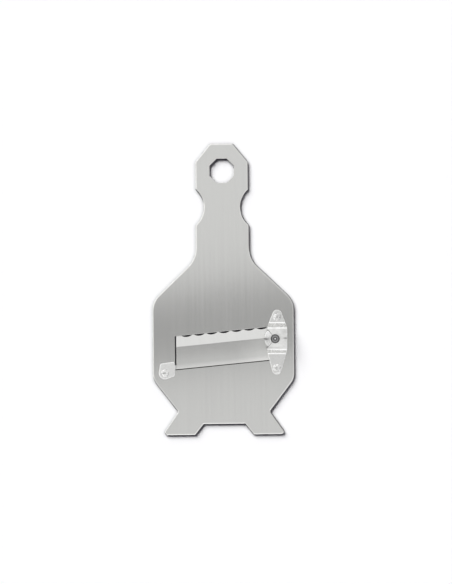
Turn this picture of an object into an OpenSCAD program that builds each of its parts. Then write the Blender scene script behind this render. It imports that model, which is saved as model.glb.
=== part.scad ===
// Truffle slicer: a steel plate with a slanted slot, and a scalloped blade that tilts out of it.
// The plate lies flat. X runs across it, Y towards the grip, and Z up on the food side.
// The origin is at the middle of the plate's outline, on its rear face.

/* [Plate] */
// Length of the plate, from the feet to the end of the grip
plate_l = 185; // [175:1:220]
// Thickness of the sheet
plate_t = 2; // [1.6:0.1:3]
// Width of the body on each side of the slot
rail_w = 14.25; // [13:0.25:24]
// Height of the body's lower corners above the feet
hip_y = 35.4; // [30:0.2:37]
// Radius of the body's lower corners
hip_r = 11; // [4:0.5:16]
// Height of the body's upper corners above the feet
shoulder_y = 85; // [80:0.5:90]
// Radius of the body's upper corners
shoulder_r = 13.5; // [5:0.5:20]

/* [Grip] */
// Width of the straight part of the grip
neck_w = 34; // [30:0.5:36]
// Height of the grip's foot above the feet
neck_y = 111.9; // [108:0.1:114]
// Radius between the grip and the body
neck_r = 17; // [8:0.5:20]
// Width of the grip at its waist
waist_w = 23.4; // [20:0.2:28]
// Radius of the finger hollows on both sides of the waist
waist_r = 14.75; // [12:0.25:16]
// Radius of the corners beside the finger hollows
waist_corner_r = 1.6; // [0.8:0.1:2.4]
// Distance of the waist from the end of the grip
waist_drop = 40.3; // [38:0.1:44]
// Width of the head
head_w = 33.5; // [30:0.1:36]
// Width of the head's end
head_end_w = 14.6; // [10:0.2:18]
// Length of the head's slanted corners
head_slant_l = 11.6; // [9:0.1:14]
// Radius of the head's corners
head_r = 2; // [0.5:0.1:4]
// Width of the octagonal hanging hole, across its flats
hole_w = 15.3; // [10:0.1:18]
// Distance of the hanging hole's centre from the end of the grip
hole_drop = 17.2; // [16:0.1:20]

/* [Feet] */
// Width across both feet, at their soles
feet_w = 79.2; // [76:0.1:88]
// Radius of the feet's outer corners
foot_r = 1.8; // [0.8:0.1:3]
// Width between the side notches
notch_w = 58.5; // [54:0.5:66]
// Height of the side notches above the feet
notch_y = 14.8; // [12:0.1:18]
// Radius at the bottom of the side notches
notch_r = 1.5; // [0.5:0.1:3]
// Width between the feet, at their soles
arch_w = 37; // [30:0.2:44]
// Width of the flat top of the arch between the feet
arch_top_w = 26.2; // [20:0.2:29]
// Height of the arch
arch_h = 6.85; // [4:0.05:9]
// Radius of the arch's corners
arch_r = 1; // [0.5:0.1:2]

/* [Slot] */
// Height of the slot's lower left corner above the feet
slot_y = 41.4; // [39:0.1:45]
// Rise of the slot to the right, in degrees
slot_angle = 5.2; // [3:0.1:7]
// Length of the slot from its left wall to the land below the bridge
slot_l = 61.5; // [59:0.5:72]
// Width of the slot, square to its edges
slot_w = 21.4; // [21:0.1:23]
// Radius of the slot's corners
slot_r = 0.5; // [0.3:0.1:1]

/* [Blade] */
// Thickness of the spring steel
blade_t = 0.8; // [0.6:0.05:1]
// Depth of the blade's top face below the plate's
blade_drop = 0.1; // [0:0.05:0.15]
// Gap between the blade's ends and the slot's walls
end_gap = 0.75; // [0.6:0.05:1.1]
// Gap between the blade's back and the slot's lower edge
back_gap = 0.4; // [0.3:0.05:0.6]
// Gap between the blade's tips and the slot's upper edge
tip_gap = 0.15; // [0.1:0.05:0.3]
// Width of the ground bevel
bevel_w = 6.7; // [5:0.1:8]
// Thickness that the bevel leaves at the cutting edge
edge_t = 0.08; // [0.05:0.01:0.15]
// Number of scallops along the cutting edge
scallops = 7; // [3:1:7]
// Distance from one scallop to the next
scallop_pitch = 8; // [7.4:0.1:8.2]
// Width of each scallop at the cutting edge
scallop_w = 6.8; // [5:0.1:7.2]
// Depth of each scallop
scallop_h = 1.05; // [0.5:0.05:1.5]
// Distance of the first scallop from the slot's upper left corner
scallop_start = 7.5; // [6:0.1:8]
// Width of the two necks that carry the blade
neck_band_w = 2.7; // [2:0.1:3.2]
// Radius of the lug around the bush
lug_r = 5; // [4.6:0.1:5.4]

/* [Left tab] */
// Distance of the tab rivet from the slot's left wall
tab_rivet_x = 6.6; // [6.4:0.05:7.4]
// Depth of the tab rivet below the slot's lower left corner
tab_rivet_y = 1.85; // [1.6:0.05:3]
// Radius of the tab's round end
tab_r = 3.85; // [3.5:0.05:4.2]
// Distance from the tab's edge to the slot's wall
tab_setback = 0.2; // [0.1:0.05:0.4]
// Height of the tab above the slot's lower corner, at the slot
tab_top = 5.4; // [4.6:0.1:5.6]
// Width of the tab's upper edge
tab_w = 9.3; // [9:0.1:10]
// Fall of the tab's upper edge to the left
tab_fall = 1.25; // [0.5:0.05:2]
// Depth of the tab below the slot's lower corner, at the slot
tab_depth = 3.75; // [3:0.05:4.5]
// Radius of the tab's corners
tab_corner_r = 1.2; // [0.5:0.1:1.4]

/* [Right tab] */
// Width of the tab under the bridge
foot_tab_w = 5.8; // [5:0.1:6.2]
// Radius of its round end
foot_tab_r = 3; // [2.8:0.1:3]
// Radius of its corners
foot_tab_corner_r = 0.8; // [0.4:0.1:1]

/* [Bridge] */
// Thickness of the bridge's sheet
bridge_t = 1; // [0.8:0.05:1.2]
// Height of the space below the bridge's middle
bridge_h = 4.2; // [4.1:0.1:5.5]
// Width of the bridge's middle
bridge_w = 12.6; // [12:0.1:13.6]
// Length of the bridge's middle
bridge_l = 13.9; // [13.8:0.1:15.5]
// Steepness of the slopes, in degrees
bridge_slope = 54; // [52:1:60]
// Inner radius of the bends beside the middle
bend_r = 0.5; // [0.3:0.1:0.7]
// Inner radius of the bends beside the ears
ear_bend_r = 1.1; // [0.5:0.1:1.2]
// Width of the upper ear at its bend
upper_ear_w = 10.7; // [9:0.1:12]
// Width of the lower ear at its bend
lower_ear_w = 11.9; // [10:0.1:12.5]
// Radius of the ears' round ends
ear_r = 3.1; // [3.1:0.1:3.4]
// Length of the upper ear, from its bend
upper_ear_l = 8.3; // [7.6:0.1:9.5]
// Length of the lower ear, from its bend
lower_ear_l = 13.3; // [12.6:0.1:13.9]
// Opening of the slot in the bridge's side, in degrees
mouth_angle = 98; // [70:2:100]
// Turn of the bridge about the screw, clockwise seen from above, in degrees
bridge_turn = 1; // [0:0.5:2]

/* [Adjuster] */
// Distance of the screw from the slot's lower edge
screw_v = 13.6; // [13.2:0.1:14]
// Distance of the screw beyond the slot's land
screw_reach = 2; // [1.6:0.1:2.6]
// Distance of the screw from the bridge's middle line
screw_offset = 1.35; // [0.8:0.05:1.8]
// Diameter of the screw's thread
screw_d = 4; // [3.6:0.1:4]
// Diameter of the screw's plain shank
shank_d = 3; // [2.6:0.1:3.2]
// Height of the screw's tip above the plate's rear face
screw_tip = 0.3; // [0.1:0.05:0.6]
// Diameter of the screw's head
head_d = 5.6; // [5:0.1:6.5]
// Thickness of the screw's head
head_t = 0.75; // [0.5:0.05:1.2]
// Width of the centre dimple in the screw's head
pip_d = 0.9; // [0.5:0.1:1.2]
// Diameter of the wheel
wheel_d = 13.9; // [13:0.1:13.9]
// Thickness of the wheel
wheel_t = 1.5; // [1.2:0.05:1.6]
// Chamfer of the wheel's edges, beside the knurled band
wheel_chamfer = 0.25; // [0.1:0.05:0.4]
// Height of the wheel's lower face above the plate
wheel_lift = 1.9; // [1.9:0.05:2]
// Diameter of the wheel's hub
hub_d = 6.4; // [5:0.1:8]
// Number of knurls round the wheel
knurls = 60; // [40:2:72]
// Depth of the knurls
knurl_h = 0.22; // [0.1:0.02:0.3]
// Outer diameter of the bush in the blade
bush_d = 6; // [5.4:0.1:6.4]
// Diameter of the bush's collar below the blade
collar_d = 7.2; // [6.8:0.1:7.6]
// Height of the bush's lower end above the plate's rear face
bush_lift = 0.25; // [0.1:0.05:0.5]

/* [Rivets] */
// Diameter of the rivet heads
rivet_head_d = 5.2; // [4.6:0.1:5.8]
// Height of the rivet heads
rivet_head_h = 0.95; // [0.7:0.05:1.3]
// Diameter of the rivets
rivet_d = 3; // [2.4:0.1:3.2]
// Diameter of the flush rivet tails in the rear face
tail_d = 4.6; // [4:0.1:5]
// Depth of the flush rivet tails
tail_h = 0.8; // [0.5:0.05:1]
// Width of the dimple in each rivet head
dimple_d = 2; // [1.2:0.1:2.4]
// Depth of the dimple
dimple_h = 0.3; // [0.1:0.05:0.4]
// Distance of the upper rivet from the upper ear's bend
upper_rivet_y = 3.6; // [3.2:0.1:4.6]
// Distance of the lower rivet from the lower ear's bend
lower_rivet_y = 9; // [8.4:0.1:9.6]

/* [Fits] */
// Radial gap round the rivets and under the pressed wheel
seat_gap = 0.02; // [0.01:0.01:0.04]
// Gap at the faces and the shank that turn in the bridge
running_gap = 0.05; // [0.03:0.01:0.08]
// Radial gap between the screw and the bush, which lets the blade tilt
tilt_gap = 0.3; // [0.25:0.01:0.4]
// Gap round the lug in the slot
lug_gap = 0.5; // [0.4:0.05:0.8]

/* [Hidden] */
$fn = 64;

// Overrun of all cuts
over = plate_t;
// Turn between two points of a rounded corner, in degrees
arc_step = 5;

// Levels of the stack
blade_top = plate_t - blade_drop;
blade_low = blade_top - blade_t;
tab_high = plate_t + blade_t;
bridge_low = plate_t + bridge_h;
bridge_high = bridge_low + bridge_t;

// The plate's middle lies at the origin
sole_y = -plate_l / 2;
end_y = plate_l / 2;
waist_y = end_y - waist_drop;

// The slot lies in the middle of the body, between two rails
body_w = slot_l + 2 * rail_w;
slot_x = -slot_l / 2;
land_x = slot_l / 2;
tip_v = slot_w - tip_gap;
neck_v = back_gap + neck_band_w;

// Point at x, at the distance v from the slot's lower edge
function slanted(x, v) = [
    x,
    sole_y + slot_y + (x - slot_x) * tan(slot_angle) + v / cos(slot_angle)
];

// Point p of the bridge after its turn about the screw
function with_bridge(p) =
    let(d = p - screw_at)
    screw_at + [
        d.x * cos(bridge_turn) + d.y * sin(bridge_turn),
        d.y * cos(bridge_turn) - d.x * sin(bridge_turn)
    ];

// Places of the fasteners
screw_at = slanted(land_x + screw_reach, screw_v);
bridge_at = screw_at + [screw_offset, 0];
tab_rivet_at = [slot_x - tab_rivet_x, sole_y + slot_y - tab_rivet_y];
upper_run = bridge_h / tan(bridge_slope);
lower_run = (bridge_h - blade_t) / tan(bridge_slope);
upper_bend_y = bridge_at.y + bridge_l / 2 + upper_run;
lower_bend_y = bridge_at.y - bridge_l / 2 - lower_run;
upper_rivet_at = with_bridge([bridge_at.x, upper_bend_y + upper_rivet_y]);
lower_rivet_at = with_bridge([bridge_at.x, lower_bend_y - lower_rivet_y]);

// Points of an arc about centre c, of radius r, from angle a to angle b
function arc(c, r, a, b) =
    let(steps = max(1, ceil(abs(b - a) / arc_step)))
    [for (i = [0:steps]) c + r * [cos(a + (b - a) * i / steps), sin(a + (b - a) * i / steps)]];

// Points of the arc of radius r that rounds the corner at b, on the way from a to c
function corner(a, b, c, r) =
    let(
        u = (a - b) / norm(a - b),
        w = (c - b) / norm(c - b),
        half = acos(u * w) / 2,
        centre = b + (u + w) / norm(u + w) * r / sin(half),
        first = b + u * r / tan(half) - centre,
        sweep = (180 - 2 * half) * sign(cross(-u, w)),
        start = atan2(first.y, first.x)
    )
    arc(centre, r, start, start + sweep);

// Closed outline with every corner rounded by its own radius
function rounded(points, radii) =
    let(n = len(points))
    [for (i = [0:n - 1]) each corner(points[(i + n - 1) % n], points[i], points[(i + 1) % n], radii[i])];

// Point where a line from p touches the circle of radius r about c, on its left (1) or right (-1)
function touch(p, c, r, side) =
    let(
        d = c - p,
        a = atan2(d.y, d.x) + side * asin(r / norm(d))
    )
    p + sqrt(d * d - r * r) * [cos(a), sin(a)];

function mirrored(points) = [for (i = [len(points) - 1:-1:0]) [-points[i].x, points[i].y]];

// Finger hollow of the grip, from the head's side down to the neck's
hollow_x = waist_w / 2 + waist_r;
function hollow_rise(width) =
    sqrt(pow(waist_r + waist_corner_r, 2) - pow(hollow_x - width / 2 + waist_corner_r, 2));
function hollow_turn(width) = atan2(hollow_rise(width), hollow_x - width / 2 + waist_corner_r);
function hollow() = concat(
    arc([head_w / 2 - waist_corner_r, waist_y + hollow_rise(head_w)], waist_corner_r,
        0, -hollow_turn(head_w)),
    arc([hollow_x, waist_y], waist_r, 180 - hollow_turn(head_w), 180 + hollow_turn(neck_w)),
    arc([neck_w / 2 - waist_corner_r, waist_y - hollow_rise(neck_w)], waist_corner_r,
        hollow_turn(neck_w), 0)
);

// Right half of the plate's outline, from the end of the grip round to the arch
head_end = [head_end_w / 2, end_y];
head_side = [head_w / 2, end_y - head_slant_l];
neck_foot = [neck_w / 2, sole_y + neck_y];
shoulder = [body_w / 2, sole_y + shoulder_y];
hip = [body_w / 2, sole_y + hip_y];
notch = [notch_w / 2, sole_y + notch_y];
foot_out = [feet_w / 2, sole_y];
foot_in = [arch_w / 2, sole_y];
arch_top = [arch_top_w / 2, sole_y + arch_h];
right_half = concat(
    corner([0, end_y], head_end, head_side, head_r),
    corner(head_end, head_side, [head_w / 2, waist_y], head_r),
    hollow(),
    corner([neck_w / 2, waist_y], neck_foot, shoulder, neck_r),
    corner(neck_foot, shoulder, hip, shoulder_r),
    corner(shoulder, hip, notch, hip_r),
    corner(hip, notch, foot_out, notch_r),
    corner(notch, foot_out, foot_in, foot_r),
    corner(foot_out, foot_in, arch_top, arch_r),
    corner(foot_in, arch_top, [0, arch_top.y], arch_r)
);

// Solid of an outline, from one level up to another
module slab(points, low, high) {
    translate([0, 0, low]) linear_extrude(high - low) polygon(points);
}

module disc(at, d, low, high) {
    translate([at.x, at.y, low]) cylinder(d = d, h = high - low);
}

// Through hole with a countersink for a flush rivet tail
module rivet_hole(at) {
    disc(at, rivet_d + 2 * seat_gap, -over, plate_t + over);
    translate([at.x, at.y, 0])
        cylinder(d1 = tail_d + 2 * seat_gap, d2 = rivet_d + 2 * seat_gap, h = tail_h);
}

// Round end about the screw, from the lower edge of the lug to its upper edge
function lug_end(r) = arc(screw_at, r, slot_angle - 90, slot_angle + 90);

module slot() {
    low = [slanted(slot_x, 0), slanted(land_x, 0)];
    high = [slanted(land_x, slot_w), slanted(slot_x, slot_w)];
    pocket_r = lug_r + lug_gap;
    outline = concat(
        corner(high[1], low[0], low[1], slot_r),
        corner(low[0], low[1], high[0], slot_r),
        [slanted(land_x, screw_v - pocket_r)],
        lug_end(pocket_r),
        [slanted(land_x, screw_v + pocket_r)],
        corner(low[1], high[0], high[1], slot_r),
        corner(high[0], high[1], low[0], slot_r)
    );
    slab(outline, -over, plate_t + over);
}

module plate() {
    color("silver")
    difference() {
        slab(concat(right_half, mirrored(right_half)), 0, plate_t);
        translate([0, end_y - hole_drop, -over])
            rotate(180 / 8)
            cylinder(d = hole_w / cos(180 / 8), h = plate_t + 2 * over, $fn = 8);
        slot();
        rivet_hole(tab_rivet_at);
        rivet_hole(upper_rivet_at);
        rivet_hole(lower_rivet_at);
    }
}

// Wedge that the grinding takes off the top face, out to the cutting edge
module bevel_cut() {
    bevel_v = tip_v - bevel_w;
    fall = (blade_t - edge_t) / bevel_w;
    wedge = [
        [bevel_v, blade_top],
        [tip_v + over, blade_top - fall * (bevel_w + over)],
        [tip_v + over, blade_top + over],
        [bevel_v, blade_top + over]
    ];
    translate([slot_x, sole_y + slot_y, 0])
        rotate([0, 0, slot_angle])
        rotate([90, 0, 90])
        linear_extrude(slot_l + 2 * lug_r + slot_w)
        polygon(wedge);
}

module scallop_cuts() {
    scallop_r = (pow(scallop_w / 2, 2) + pow(scallop_h, 2)) / (2 * scallop_h);
    for (i = [0:scallops - 1]) {
        along = slot_w * tan(slot_angle) + scallop_start + i * scallop_pitch;
        translate([slot_x, sole_y + slot_y, 0])
            rotate(slot_angle)
            disc([along, tip_v - scallop_h + scallop_r], 2 * scallop_r, 0, plate_t);
    }
}

// Strip with its lug and the hole for the bush, before grinding
module blade_blank() {
    left = slot_x + end_gap;
    right = land_x - end_gap;
    outline = concat(
        [slanted(left, back_gap), slanted(right, back_gap), slanted(right, screw_v - lug_r)],
        lug_end(lug_r),
        [slanted(right, screw_v + lug_r), slanted(right, tip_v), slanted(left, tip_v)]
    );
    difference() {
        slab(outline, blade_low, blade_top);
        disc(screw_at, bush_d + 2 * seat_gap, -over, plate_t + over);
    }
}

module blade() {
    color("gainsboro")
    difference() {
        blade_blank();
        bevel_cut();
        scallop_cuts();
    }
}

// Joggled spring neck from the blade up to its tab, in the band beside the blade's back
module neck(blade_x, tab_x, wall_x) {
    bend = (wall_x + blade_x) / 2;
    profile = [
        [blade_x, blade_low], [blade_x, blade_top], [bend, blade_top + blade_drop + blade_t / 2],
        [wall_x, tab_high], [tab_x, tab_high], [tab_x, plate_t], [wall_x, plate_t]
    ];
    x0 = min(blade_x, tab_x);
    x1 = max(blade_x, tab_x);
    band = [slanted(x0, back_gap), slanted(x1, back_gap), slanted(x1, neck_v), slanted(x0, neck_v)];
    intersection() {
        slab(band, 0, tab_high + over);
        translate([0, slanted(x1, neck_v).y + over, 0])
            rotate([90, 0, 0])
            linear_extrude(slot_w)
            polygon(profile);
    }
}

module blade_neck_left() {
    color("gainsboro") neck(slot_x + end_gap, slot_x - tab_setback, slot_x);
}

module blade_neck_right() {
    color("gainsboro") neck(land_x - end_gap, land_x + tab_setback, land_x);
}

// Tab with a round end about its rivet, drawn out to the points of its straight edges
module tab(points, at, r) {
    difference() {
        union() {
            slab(points, plate_t, tab_high);
            disc(at, 2 * r, plate_t, tab_high);
        }
        disc(at, rivet_d + 2 * seat_gap, -over, tab_high + over);
    }
}

module blade_tab_left() {
    edge = slot_x - tab_setback;
    low = [edge, sole_y + slot_y - tab_depth];
    high = [edge, sole_y + slot_y + tab_top];
    far = [edge - tab_w, high.y - tab_fall];
    touch_low = touch(low, tab_rivet_at, tab_r, 1);
    touch_far = touch(far, tab_rivet_at, tab_r, -1);
    outline = concat(
        corner(touch_low, low, high, tab_corner_r),
        corner(low, high, far, tab_corner_r),
        corner(high, far, touch_far, tab_corner_r),
        [touch_far, tab_rivet_at, touch_low]
    );
    color("gainsboro") tab(outline, tab_rivet_at, tab_r);
}

module blade_tab_right() {
    edge = land_x + tab_setback;
    near_low = slanted(edge, back_gap);
    near = slanted(edge, neck_v);
    far = slanted(edge + foot_tab_w, neck_v);
    touch_near = touch(near_low, lower_rivet_at, foot_tab_r, -1);
    touch_far = touch(far, lower_rivet_at, foot_tab_r, 1);
    outline = concat(
        [near_low, near],
        corner(near, far, touch_far, foot_tab_corner_r),
        [touch_far, lower_rivet_at, touch_near]
    );
    color("gainsboro") tab(outline, lower_rivet_at, foot_tab_r);
}

module blade_bush() {
    color("darkkhaki")
    difference() {
        union() {
            disc(screw_at, bush_d, bush_lift, blade_top);
            disc(screw_at, collar_d, bush_lift, blade_low);
        }
        disc(screw_at, screw_d + 2 * tilt_gap, -over, plate_t + over);
    }
}

// Rivet through the plate and what lies on it, up to a level, with a dimpled round head
module rivet(at, level) {
    dome_r = (pow(rivet_head_d / 2, 2) + pow(rivet_head_h, 2)) / (2 * rivet_head_h);
    dimple_r = (pow(dimple_d / 2, 2) + pow(dimple_h, 2)) / (2 * dimple_h);
    color("white")
    translate([at.x, at.y, 0]) {
        cylinder(d1 = tail_d, d2 = rivet_d, h = tail_h);
        cylinder(d = rivet_d, h = level);
        translate([0, 0, level])
            difference() {
                intersection() {
                    cylinder(d = rivet_head_d, h = rivet_head_h);
                    translate([0, 0, rivet_head_h - dome_r]) sphere(dome_r);
                }
                translate([0, 0, rivet_head_h - dimple_h + dimple_r]) sphere(dimple_r);
            }
    }
}

module tab_rivet() {
    rivet(tab_rivet_at, tab_high);
}

module bridge_rivet_upper() {
    rivet(upper_rivet_at, plate_t + bridge_t);
}

module bridge_rivet_lower() {
    rivet(lower_rivet_at, tab_high + bridge_t);
}

// Side view of the bent sheet: its top face from the upper ear to the lower, then its underside
module bridge_profile() {
    upper_end = upper_bend_y + upper_ear_l + over;
    lower_end = lower_bend_y - lower_ear_l - over;
    crest_up = bridge_at.y + bridge_l / 2;
    crest_low = bridge_at.y - bridge_l / 2;
    shift = bridge_t * tan(bridge_slope / 2);
    crest_r = bend_r + bridge_t;
    under_ear_r = ear_bend_r + bridge_t;
    top = concat(
        [[upper_end, plate_t + bridge_t]],
        corner([upper_end, plate_t + bridge_t], [upper_bend_y, plate_t + bridge_t],
            [crest_up, bridge_high], ear_bend_r),
        corner([upper_bend_y, plate_t + bridge_t], [crest_up, bridge_high],
            [crest_low, bridge_high], crest_r),
        corner([crest_up, bridge_high], [crest_low, bridge_high],
            [lower_bend_y, tab_high + bridge_t], crest_r),
        corner([crest_low, bridge_high], [lower_bend_y, tab_high + bridge_t],
            [lower_end, tab_high + bridge_t], ear_bend_r),
        [[lower_end, tab_high + bridge_t]]
    );
    under = concat(
        [[lower_end, tab_high]],
        corner([lower_end, tab_high], [lower_bend_y + shift, tab_high],
            [crest_low + shift, bridge_low], under_ear_r),
        corner([lower_bend_y + shift, tab_high], [crest_low + shift, bridge_low],
            [crest_up - shift, bridge_low], bend_r),
        corner([crest_low + shift, bridge_low], [crest_up - shift, bridge_low],
            [upper_bend_y - shift, plate_t], bend_r),
        corner([crest_up - shift, bridge_low], [upper_bend_y - shift, plate_t],
            [upper_end, plate_t], under_ear_r),
        [[upper_end, plate_t]]
    );
    translate([bridge_at.x - bridge_w / 2 - over, 0, 0])
        rotate([90, 0, 90])
        linear_extrude(bridge_w + 2 * over)
        polygon(concat(top, under));
}

// Plan of the bridge: the wide middle, and two ears that taper to their round ends
module bridge_plan() {
    x = bridge_at.x;
    crest_up = bridge_at.y + bridge_l / 2;
    crest_low = bridge_at.y - bridge_l / 2;
    upper_end = [x, upper_bend_y + upper_ear_l - ear_r];
    lower_end = [x, lower_bend_y - lower_ear_l + ear_r];
    ul = [x - upper_ear_w / 2, upper_bend_y];
    ur = [x + upper_ear_w / 2, upper_bend_y];
    ll = [x - lower_ear_w / 2, lower_bend_y];
    lr = [x + lower_ear_w / 2, lower_bend_y];
    outline = [
        touch(ul, upper_end, ear_r, 1), ul, [x - bridge_w / 2, crest_up], [x - bridge_w / 2, crest_low],
        ll, touch(ll, lower_end, ear_r, -1), touch(lr, lower_end, ear_r, 1),
        lr, [x + bridge_w / 2, crest_low], [x + bridge_w / 2, crest_up], ur,
        touch(ur, upper_end, ear_r, -1)
    ];
    slab(outline, 0, bridge_high + over);
    disc(upper_end, 2 * ear_r, 0, bridge_high + over);
    disc(lower_end, 2 * ear_r, 0, bridge_high + over);
}

// Open V in the bridge's left side, which ends in the screw's round seat
module mouth() {
    reach = screw_offset + bridge_w;
    side = reach * tan(mouth_angle / 2);
    slab(
        [screw_at, screw_at + [-reach, side], screw_at - [reach, side]],
        bridge_low - over, bridge_high + over
    );
    disc(screw_at, shank_d + 2 * running_gap, bridge_low - over, bridge_high + over);
}

module bridge() {
    color("whitesmoke")
    difference() {
        translate(screw_at)
            rotate(-bridge_turn)
            translate(-screw_at)
            difference() {
                intersection() {
                    bridge_profile();
                    bridge_plan();
                }
                mouth();
            }
        disc(upper_rivet_at, rivet_d + 2 * seat_gap, 0, bridge_low);
        disc(lower_rivet_at, rivet_d + 2 * seat_gap, 0, bridge_low);
    }
}

module adjusting_wheel() {
    low = plate_t + wheel_lift;
    high = low + wheel_t;
    r = wheel_d / 2;
    core_r = r - 2 * knurl_h;
    rim = [
        for (i = [0:2 * knurls - 1])
            (r - knurl_h * (i % 2)) * [cos(180 * i / knurls), sin(180 * i / knurls)]
    ];
    turned = [
        [0, low], [core_r - wheel_chamfer, low], [core_r, low + wheel_chamfer],
        [core_r, high - wheel_chamfer], [core_r - wheel_chamfer, high], [0, high]
    ];
    color("lightgray")
    translate([screw_at.x, screw_at.y, 0])
        difference() {
            union() {
                rotate_extrude() polygon(turned);
                slab(rim, low + wheel_chamfer, high - wheel_chamfer);
                disc([0, 0], hub_d, low + wheel_chamfer, bridge_low - running_gap);
            }
            disc([0, 0], shank_d + 2 * seat_gap, 0, bridge_high);
        }
}

module adjusting_screw() {
    seat = bridge_high + running_gap;
    color("dimgray")
    difference() {
        union() {
            disc(screw_at, screw_d, screw_tip, plate_t + wheel_lift);
            disc(screw_at, shank_d, screw_tip, seat + head_t);
            disc(screw_at, head_d, seat, seat + head_t);
        }
        translate([screw_at.x, screw_at.y, seat + head_t]) sphere(d = pip_d);
    }
}

plate();
blade();
blade_neck_left();
blade_neck_right();
blade_tab_left();
blade_tab_right();
blade_bush();
tab_rivet();
bridge();
bridge_rivet_upper();
bridge_rivet_lower();
adjusting_wheel();
adjusting_screw();
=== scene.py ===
import math

import bmesh
import bpy
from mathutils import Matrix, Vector


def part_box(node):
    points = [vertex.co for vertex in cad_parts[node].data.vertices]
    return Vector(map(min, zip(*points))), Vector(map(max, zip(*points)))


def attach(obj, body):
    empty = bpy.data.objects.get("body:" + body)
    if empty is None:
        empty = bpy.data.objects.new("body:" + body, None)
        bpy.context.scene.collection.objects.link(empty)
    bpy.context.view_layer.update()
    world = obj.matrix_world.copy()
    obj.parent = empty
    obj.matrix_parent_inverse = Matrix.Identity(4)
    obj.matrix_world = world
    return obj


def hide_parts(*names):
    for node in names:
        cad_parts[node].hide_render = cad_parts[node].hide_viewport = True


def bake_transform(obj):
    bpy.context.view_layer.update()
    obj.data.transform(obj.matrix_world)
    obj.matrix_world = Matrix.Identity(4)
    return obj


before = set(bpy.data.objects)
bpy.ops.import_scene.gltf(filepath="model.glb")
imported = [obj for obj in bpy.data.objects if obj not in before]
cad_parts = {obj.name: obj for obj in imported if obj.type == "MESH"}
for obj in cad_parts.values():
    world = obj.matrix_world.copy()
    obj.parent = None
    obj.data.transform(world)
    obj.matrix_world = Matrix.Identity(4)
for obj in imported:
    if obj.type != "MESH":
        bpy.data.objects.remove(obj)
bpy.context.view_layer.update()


# Plate
# One sheet of stainless steel, 2 mm thick, with the slot, the hanging hole and the feet cut out
# of it. It is brushed along the grip, and tumbling has rolled its edges over.
rivet_nodes = ("tab_rivet", "bridge_rivet_upper", "bridge_rivet_lower")
rivet_places = [(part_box(name)[0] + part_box(name)[1]) / 2 for name in rivet_nodes]
rivet_reach = 0.0024
merge_distance = 1e-6
flat_angle = math.radians(1)
sharp_angle = math.radians(25)
flat_z = 0.9999
wall_z = 0.3
rim_z = 0.98
tightest_corner = -0.5
border_share = 1.3
rounding_steps = 3
plate_edge = 0.0005
roll_w = 0.00098
roll_depth = 0.00011
cut_edge_share = 0.3
rear_edge_share = 0.5
plate_colour = (0.62, 0.62, 0.607)
# The cut faces are painted near black, which also paints shade in the slot's gaps and along the
# outline.
cut_and_shade_colour = (0.12, 0.12, 0.12)
# Painted highlight on the plate's rims; painted shade on the rims that face the upper right, the
# lower left or the right.
plate_rim_highlight = 0.4
slant_way = (0.74, 0.67, 0)
right_way = (0.9, 0, 0)
rim_shade_share = 0.03
streak_middle = -0.01
streak_reach = (0.018, 0.042)
streak_gains = (0.1, 0.045)
scratch_turn = math.radians(17)
plate_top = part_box("plate")[1].z
hole_middle = Vector((0, 0.0753, 0))
hole_reach = 0.0095
blade_middle = (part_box("blade")[0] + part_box("blade")[1]) / 2
slot_margin = Vector((0.006, 0.002, 0))
slot_reach = (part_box("blade")[1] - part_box("blade")[0]) / 2 + slot_margin
slot_side = Vector((1, 0.1, 0))


def beside_rivet(edge):
    """True for an edge of a rivet hole, which the rivet fills."""
    middle = (edge.verts[0].co + edge.verts[1].co) / 2
    return any((middle - place).xy.length < rivet_reach for place in rivet_places)


def inward(before, at, after, normal, width):
    """Place beside a corner of a face's outline, a width in from both of its sides."""
    sides = [normal.cross((b - a).normalized()) for a, b in ((before, at), (at, after))]
    corner = max(sides[0].dot(sides[1]), tightest_corner)
    return at + (sides[0] + sides[1]) * width / (1 + corner)


def bordered(bm, up, width):
    """Gives the flat faces that look along Z, up or down, a border of even width."""
    flat = [face for face in bm.faces if face.normal.z * up > flat_z]
    following = {}
    for face in flat:
        for loop in face.loops:
            if sum(other in flat for other in loop.edge.link_faces) == 1:
                following[loop.vert] = loop.link_loop_next.vert
    before = {after: vert for vert, after in following.items()}
    normal = Vector((0, 0, up))
    copies = {
        vert: bm.verts.new(inward(before[vert].co, vert.co, after.co, normal, width))
        for vert, after in following.items()
    }
    inner = [edge for edge in bm.edges if all(face in flat for face in edge.link_faces)]
    bmesh.ops.delete(bm, geom=flat, context="FACES_ONLY")
    bmesh.ops.delete(bm, geom=[edge for edge in inner if edge.is_valid], context="EDGES")
    border = [bm.edges.new((copies[vert], copies[after])) for vert, after in following.items()]
    for vert, after in following.items():
        bm.faces.new((vert, after, copies[after], copies[vert]))
    filled = bmesh.ops.triangle_fill(bm, edges=border, use_beauty=True, normal=normal)
    for face in filled["geom"]:
        if isinstance(face, bmesh.types.BMFace) and face.normal.z * up < 0:
            face.normal_flip()
    bm.normal_update()


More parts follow.
